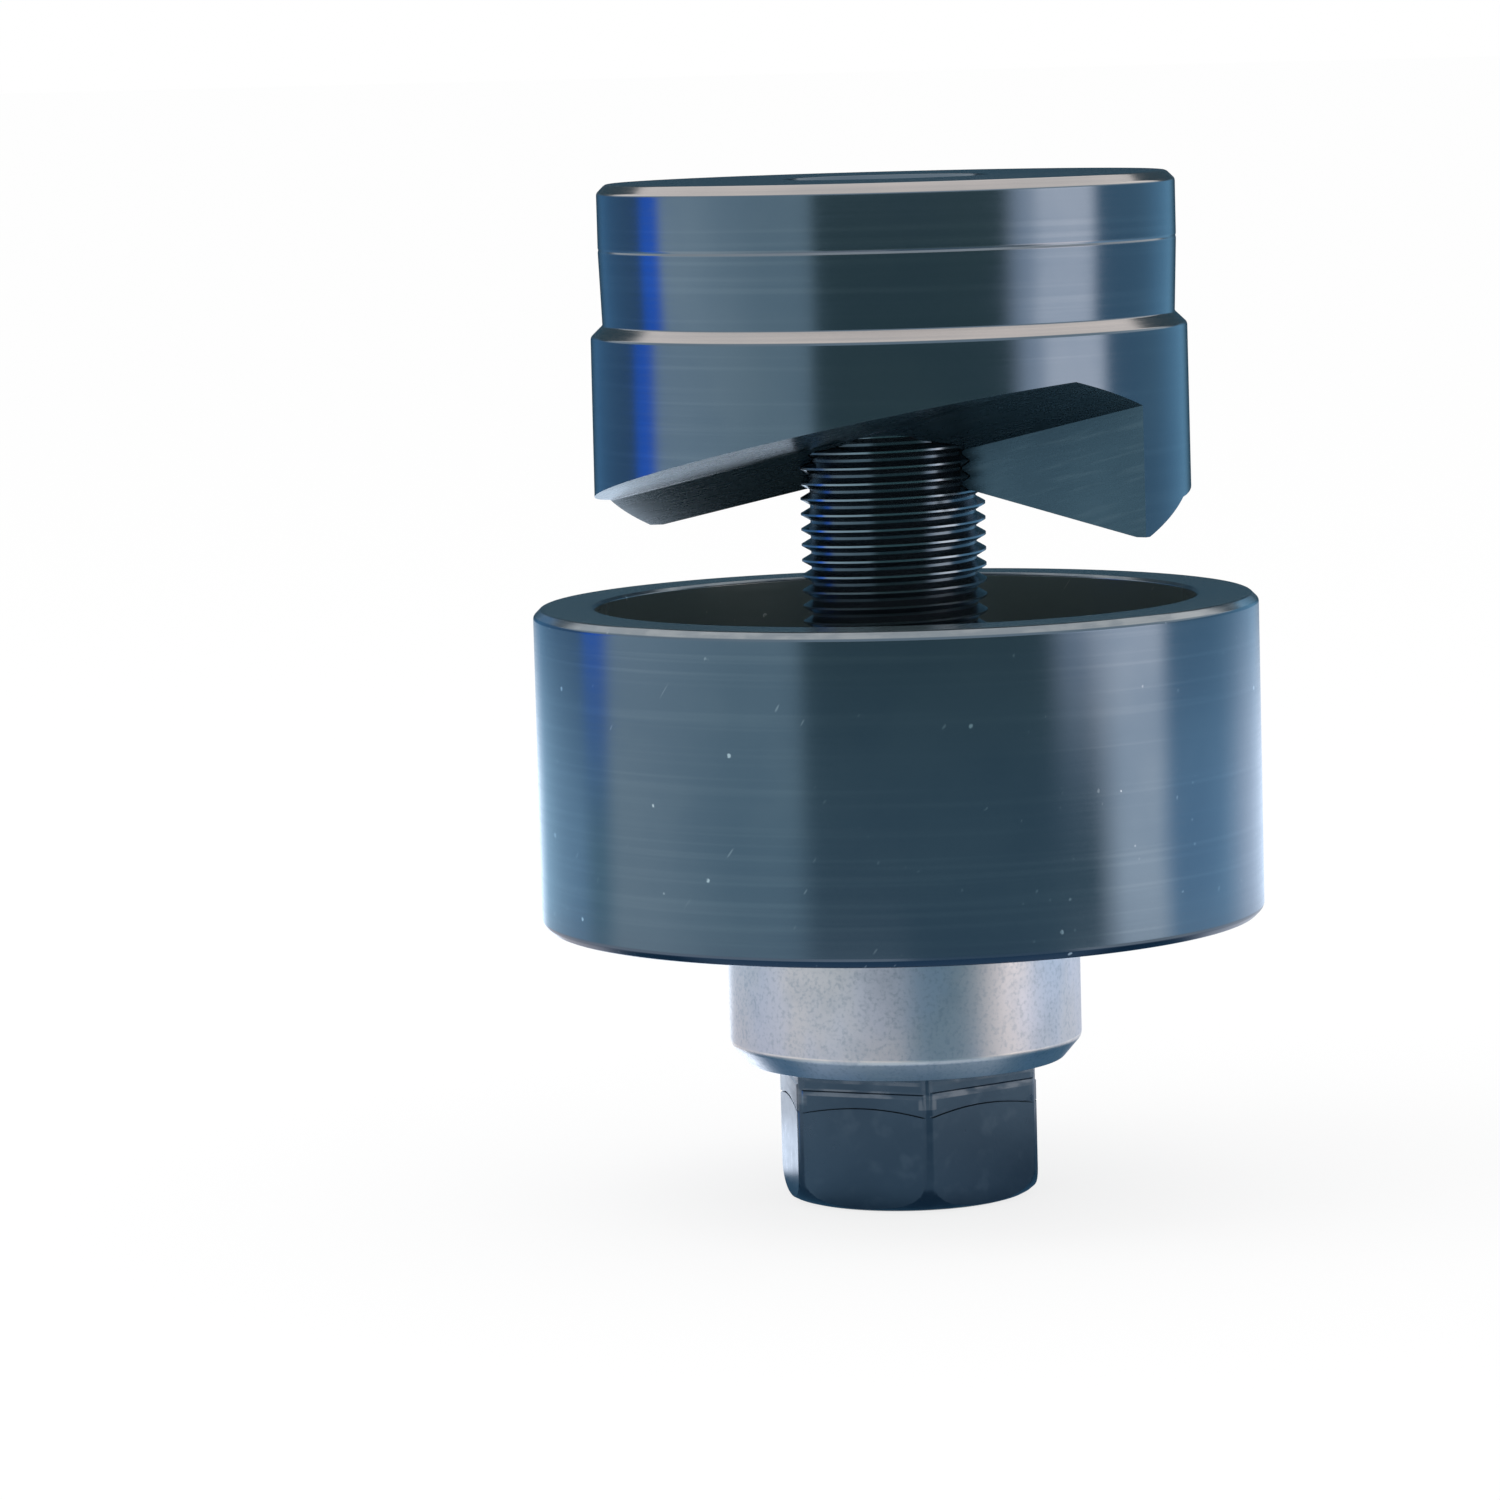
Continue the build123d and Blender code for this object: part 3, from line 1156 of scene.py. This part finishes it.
    def _shank(self) -> Workpiece:
        """Returns the shank with the retaining ring's groove and the thread."""
        foot = self.head_height - self.shank_overlap
        profile = (
            Corner(0, foot),
            Corner(self.crest_radius, foot),
            Corner(self.crest_radius, self.groove_low, self.groove_round),
            Corner(self.groove_radius, self.groove_low),
            Corner(self.groove_radius, self.groove_high),
            Corner(self.crest_radius, self.groove_high, self.groove_round),
            Corner(self.crest_radius, self.top_level - self.end_chamfer, self.end_edge_round),
            Corner(self.crest_radius - self.end_chamfer, self.top_level, self.end_edge_round),
            Corner(0, self.top_level),
        )
        shank = Workpiece("shank").turn(profile, THREAD_STEPS)
        # the crest keeps a flat of an eighth of the pitch
        crest_half = 7 * THREAD_PITCH / 16
        outer = self.crest_radius + self.thread_clear
        flank = math.tan(math.radians(self.flank_angle))
        root_half = crest_half - (self.crest_radius - self.root_radius) * flank
        outer_half = crest_half + (outer - self.crest_radius) * flank
        section = (
            (self.root_radius, -root_half),
            (outer, -outer_half),
            (outer, outer_half),
            (self.root_radius, root_half),
        )
        turns = math.ceil((self.top_level - self.thread_start) / THREAD_PITCH) + 1
        thread = Workpiece("thread").coil(section, self.thread_start, turns)
        return shank.machine(thread, Cut.REMOVE)

    def build(self) -> bpy.types.Object:
        """Builds and dresses the stud and returns its object."""
        head = self._head().break_edges(self.edge_break, self.edge_angle)
        head.paint(self.head_finish().make())
        head.object.name = "draw_stud_threaded"
        head.machine(self._shank().paint(self.thread_finish().make()), Cut.WELD)
        return head.hand_over("stud", "draw_stud", "stud_oxide")


@dataclass
class ThrustBearing:
    """The banded thrust bearing: a rolled band, and inside it the CAD's races, cage, balls and ring."""

    band_low: float = 14.2
    seat_level: float = Die.seat_level
    band_radius: float = 18.275
    band_bore: float = 17.075
    band_chamfer: float = 1.85
    band_lip: float = 1.2
    rim_edge: float = 16.35
    band_wall: float = 1.2
    rim_round: float = 0.30
    top_round: float = 0.40
    lip_round: float = 0.15
    foot_round: float = 0.20
    foot_inner_round: float = 0.12
    wear_margin: float = 0.1
    race_finish: BareSteel = BareSteel(
        "race_ground",
        Grain.TURNED,
        tone=(0.62, 0.62, 0.64),
        stain_tone=(0.46, 0.46, 0.48),
        roughness=0.22,
        mark_depth=0.000003,
        stain=0.3,
    )
    cage_finish: BareSteel = BareSteel(
        "cage_pressed",
        Grain.FORGED,
        tone=(0.50, 0.50, 0.50),
        stain_tone=(0.34, 0.34, 0.35),
        roughness=0.40,
        mark_depth=0.000008,
        stain=0.6,
    )
    ball_finish: BareSteel = BareSteel(
        "ball_polished",
        Grain.FORGED,
        tone=(0.78, 0.78, 0.80),
        stain_tone=(0.70, 0.70, 0.72),
        roughness=0.08,
        mark_depth=0.0000005,
        stain=0.1,
    )
    ring_finish: BareSteel = BareSteel(
        "ring_phosphate",
        Grain.FORGED,
        tone=(0.16, 0.16, 0.17),
        stain_tone=(0.10, 0.10, 0.11),
        roughness=0.45,
        mark_depth=0.000006,
        stain=0.6,
    )

    def _band(self) -> bpy.types.Object:
        """Builds and dresses the band and returns its object."""
        foot = self.band_radius - self.band_chamfer
        # inside, the wall turns in at 45 degrees as the outside does, one wall's thickness away
        rim_turn = self.band_low + self.band_chamfer + self.band_wall * math.tan(math.pi / 8)
        rim_end = self.band_wall * math.sqrt(0.5)
        lip = self.band_bore - self.band_lip
        lip_level = self.seat_level - self.band_wall
        profile = (
            Corner(self.band_radius, self.rim_edge, self.rim_round),
            Corner(self.band_radius, self.seat_level, self.top_round),
            Corner(lip, self.seat_level, self.lip_round),
            Corner(lip, lip_level),
            Corner(self.band_bore, lip_level),
            Corner(self.band_bore, rim_turn),
            Corner(foot - rim_end, self.band_low + rim_end, self.foot_inner_round),
            Corner(foot, self.band_low, self.foot_round),
        )
        outer = self.band_radius + self.wear_margin
        worn = (
            Ring(self.rim_edge, self.rim_edge + self.rim_round, foot, outer, amount=0.8, ragged=0.6),
            Ring(self.seat_level - self.top_round, self.seat_level, foot, outer, amount=0.8, ragged=0.6),
        )
        finish = BareSteel("band_rolled", stain=0.55, warmth=0.6, worn=worn)
        band = Workpiece("bearing_band_rolled").turn(profile, SMALL_TURNED_STEPS)
        band.paint(finish.make())
        return band.hand_over("bearing_housing", "bearing_band", "band_steel")

    def build(self) -> list[bpy.types.Object]:
        """Builds the band, dresses the CAD's inner pieces and returns them all."""
        race = self.race_finish.make()
        chosen = {
            "upper_race": race,
            "lower_race": race,
            "ball_cage": self.cage_finish.make(),
            "retaining_ring": self.ring_finish.make(),
        }
        ball = self.ball_finish.make()
        dressed = [self._band()]
        for name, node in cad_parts.items():
            material = ball if name.startswith(("ball_0", "ball_1")) else chosen.get(name)
            if material is not None:
                node.data.materials.clear()
                node.data.materials.append(material)
                dressed.append(node)
                LOG.info("%s: CAD node in %s", name, material.name)
        return dressed


@dataclass(frozen=True)
class Zone:
    """One upright part of the studio's walls as the metal mirrors it: where it ends and its light."""

    end: float
    light: Colour
    soft: float = 3.0


@dataclass
class Studio:
    """The floor, the soft light and the studio walls that the steel mirrors, all in metres."""

    floor_size: float = 60.0
    wall_radius: float = 0.19
    wall_height: float = 0.212
    foot_radius: float = 0.0112
    foot_level: float = 0.0002
    wall_bend: float = 0.02
    wall_steps: int = 128
    paper_white: float = 0.95
    floor_glow: float = 0.8
    lamp_place: Place = (-0.25, -0.35, 0.75)
    lamp_size: float = 0.5
    lamp_power: float = 1.2
    lamp_aim: Place = (0.0, 0.0, 0.05)
    shade_reach: Span = (0.017, 0.022)
    table_reach: Span = (0.044, 0.058)
    feet_rise: Span = (0.001, 0.010)
    walls_rise: Span = (0.018, 0.060)
    tops_rise: Span = (0.112, 0.130)
    walls: tuple[Zone, ...] = (
        Zone(-152, (0.03, 0.075, 0.115), 6.0),
        Zone(-107, (0.08, 0.24, 0.46), 2.0),
        Zone(-95, (0.00, 0.38, 2.00), 2.5),
        Zone(-62, (1.08, 1.19, 1.25), 16.0),
        Zone(-27, (0.80, 0.94, 0.98), 1.5),
        Zone(46, (0.07, 0.16, 0.16), 4.0),
        Zone(56, (1.50, 1.45, 1.58), 3.0),
        Zone(84, (2.95, 2.50, 2.47), 3.0),
        Zone(120, (0.20, 0.43, 0.62), 8.0),
        Zone(150, (0.22, 0.50, 0.76), 6.0),
        Zone(180, (0.03, 0.075, 0.115)),
    )
    wall_feet: tuple[Zone, ...] = (
        Zone(-150, (1.45, 1.72, 2.05), 8.0),
        Zone(-107, (0.60, 0.95, 1.25), 4.0),
        Zone(-95, (0.38, 0.66, 0.80), 4.0),
        Zone(-62, (0.95, 1.08, 1.14), 14.0),
        Zone(-27, (0.60, 0.80, 0.88), 3.0),
        Zone(62, (0.15, 0.29, 0.36), 5.0),
        Zone(84, (2.20, 2.10, 2.15), 4.0),
        Zone(120, (0.60, 0.98, 1.35), 8.0),
        Zone(180, (1.10, 1.30, 1.60)),
    )
    table: tuple[Zone, ...] = (
        Zone(-150, (1.75, 1.92, 2.18), 4.0),
        Zone(1, (0.72, 0.72, 0.80), 3.0),
        Zone(46, (0.17, 0.28, 0.40), 3.5),
        Zone(92, (0.80, 0.79, 0.83), 8.0),
        Zone(180, (0.74, 0.79, 0.90)),
    )
    shade: tuple[Zone, ...] = (
        Zone(-118, (1.90, 2.10, 2.45), 6.0),
        Zone(-65, (0.05, 0.14, 0.24), 8.0),
        Zone(60, (0.44, 0.56, 0.70), 8.0),
        Zone(180, (0.05, 0.14, 0.24)),
    )
    deep_shade: Colour = (0.05, 0.14, 0.24)
    wall_tops: tuple[Zone, ...] = (
        Zone(-134, (0.03, 0.07, 0.10), 2.5),
        Zone(100, (1.00, 1.02, 1.04), 10.0),
        Zone(133, (1.25, 1.22, 1.20), 2.5),
        Zone(180, (0.03, 0.07, 0.10)),
    )

    def _floor(self) -> None:
        """Adds the plain white floor, which keeps the object's shadow."""
        shape = bmesh.new()
        bmesh.ops.create_grid(shape, x_segments=1, y_segments=1, size=self.floor_size / 2)
        floor = self._link("floor", shape)
        bench = Bench("floor_white")
        white = (self.paper_white, self.paper_white, self.paper_white, 1)
        paper = bench.node("ShaderNodeBsdfDiffuse", sockets={"Color": white})
        glow = bench.node("ShaderNodeEmission", sockets={"Color": (1, 1, 1, 1), "Strength": 1.0})
        rays = bench.node("ShaderNodeLightPath")
        seen = Signal(bench, rays.outputs["Is Camera Ray"])
        for kind in ("Is Glossy Ray", "Is Transmission Ray"):
            seen = seen.larger(Signal(bench, rays.outputs[kind]))
        both = {0: seen * self.floor_glow, 1: paper.outputs[0], 2: glow.outputs[0]}
        mixed = bench.node("ShaderNodeMixShader", sockets=both)
        bench.node("ShaderNodeOutputMaterial", sockets={0: mixed.outputs[0]})
        floor.data.materials.append(bench.material)

    @staticmethod
    def _link(name: str, shape: bmesh.types.BMesh) -> bpy.types.Object:
        """Adds a stage object.

        Args:
            name: Its name.
            shape: Its mesh, which is freed.

        Returns:
            The object.
        """
        mesh = bpy.data.meshes.new(name)
        shape.to_mesh(mesh)
        shape.free()
        made = bpy.data.objects.new(name, mesh)
        bpy.context.scene.collection.objects.link(made)
        return made

    @staticmethod
    def _stops(zones: Sequence[Zone]) -> list[tuple[float, Colour]]:
        """Returns a ramp's stops for zones from -180 to 180 degrees off the view."""
        stops = [(0.0, zones[0].light)]
        for zone, follower in zip(zones, zones[1:]):
            stops.append(((zone.end - zone.soft + 180) / 360, zone.light))
            stops.append(((zone.end + zone.soft + 180) / 360, follower.light))
        stops.append((1.0, zones[-1].light))
        return stops

    def _walls(self) -> None:
        """Adds the round cove of soft light and dark cards, which only mirrors see."""
        shape = bmesh.new()
        cove = (
            (self.foot_radius, self.foot_level),
            (self.wall_radius - self.wall_bend, self.foot_level),
            (self.wall_radius, self.wall_bend),
            (self.wall_radius, self.wall_height),
        )
        places = [shape.verts.new((radius, 0, level)) for radius, level in cove]
        edges = [shape.edges.new(pair) for pair in zip(places, places[1:])]
        bmesh.ops.spin(
            shape,
            geom=[*places, *edges],
            cent=(0, 0, 0),
            axis=(0, 0, 1),
            angle=FULL_TURN,
            steps=self.wall_steps,
            use_merge=True,
        )
        walls = self._link("studio_walls", shape)
        for kind in ("camera", "diffuse", "shadow", "transmission", "volume_scatter"):
            setattr(walls, "visible_" + kind, False)
        bench = Bench("studio_light")
        turn = math.radians(VIEW_AZIMUTH)
        ahead = bench.x * math.cos(turn) + bench.y * math.sin(turn)
        aside = bench.y * math.cos(turn) - bench.x * math.sin(turn)
        share = aside.bearing(ahead) / FULL_TURN + 0.5
        shade, table, feet, sides, tops = (
            bench.node("ShaderNodeValToRGB", {"stops": self._stops(zones)}, {0: share}).outputs[0]
            for zones in (self.shade, self.table, self.wall_feet, self.walls, self.wall_tops)
        )
        light = bench.blend(bench.radius.ramp(*self.shade_reach), self.deep_shade, shade)
        light = bench.blend(bench.radius.ramp(*self.table_reach), light, table)
        light = bench.blend(bench.z.ramp(*self.feet_rise), light, feet)
        light = bench.blend(bench.z.ramp(*self.walls_rise), light, sides)
        light = bench.blend(bench.z.ramp(*self.tops_rise), light, tops)
        glow = bench.node("ShaderNodeEmission", sockets={"Color": light, "Strength": 1.0})
        bench.node("ShaderNodeOutputMaterial", sockets={0: glow.outputs[0]})
        walls.data.materials.append(bench.material)

    def _lamp(self) -> None:
        """Adds the soft area lamp above the object, which mirrors don't see."""
        data = bpy.data.lights.new("overhead_softbox", "AREA")
        data.size = self.lamp_size
        data.energy = self.lamp_power
        lamp = bpy.data.objects.new("overhead_softbox", data)
        place = Vector(self.lamp_place)
        aim = Vector(self.lamp_aim) - place
        lamp.matrix_world = Matrix.Translation(place) @ aim.to_track_quat("-Z", "Y").to_matrix().to_4x4()
        lamp.visible_glossy = False
        bpy.context.scene.collection.objects.link(lamp)

    def build(self) -> None:
        """Sets the world, the floor, the walls and the lamp."""
        world = bpy.data.worlds.new("studio")
        bpy.context.scene.world = world
        world.use_nodes = True
        background = world.node_tree.nodes["Background"]
        background.inputs["Color"].default_value = (1, 1, 1, 1)
        background.inputs["Strength"].default_value = 1.0
        bpy.context.scene.view_settings.view_transform = "Standard"
        self._floor()
        self._walls()
        self._lamp()


@dataclass
class ViewCamera:
    """The camera at the photograph's viewing angle. Its yaw, pitch and roll are in radians."""

    azimuth: float = VIEW_AZIMUTH
    distance: float = 645.53
    level: float = 118.29
    yaw: float = 0.0239
    pitch: float = 0.1104
    roll: float = -0.0274
    lens: float = 150.45
    sensor_width: float = 36.0
    far_end: float = 200.0

    def build(self) -> bpy.types.Object:
        """Adds the camera, makes it the scene's own and returns it."""
        data = bpy.data.cameras.new("camera")
        data.lens = self.lens
        data.sensor_width = self.sensor_width
        data.clip_end = self.far_end
        camera = bpy.data.objects.new("camera", data)
        turn = math.radians(self.azimuth)
        place = Vector((self.distance * math.cos(turn), self.distance * math.sin(turn), self.level))
        camera.matrix_world = (
            Matrix.Translation(place * METRES)
            @ Matrix.Rotation(turn + math.pi / 2 + self.yaw, 4, "Z")
            @ Matrix.Rotation(math.pi / 2 - self.pitch, 4, "X")
            @ Matrix.Rotation(self.roll, 4, "Z")
        )
        bpy.context.scene.collection.objects.link(camera)
        bpy.context.scene.camera = camera
        return camera


def main() -> None:
    """Builds every sub-assembly, the studio and the camera."""
    logging.basicConfig(level=logging.INFO, format="%(name)s: %(message)s")
    Punch().build()
    Die().build()
    DrawStud().build()
    ThrustBearing().build()
    Studio().build()
    ViewCamera().build()


if __name__ == "__main__":
    main()
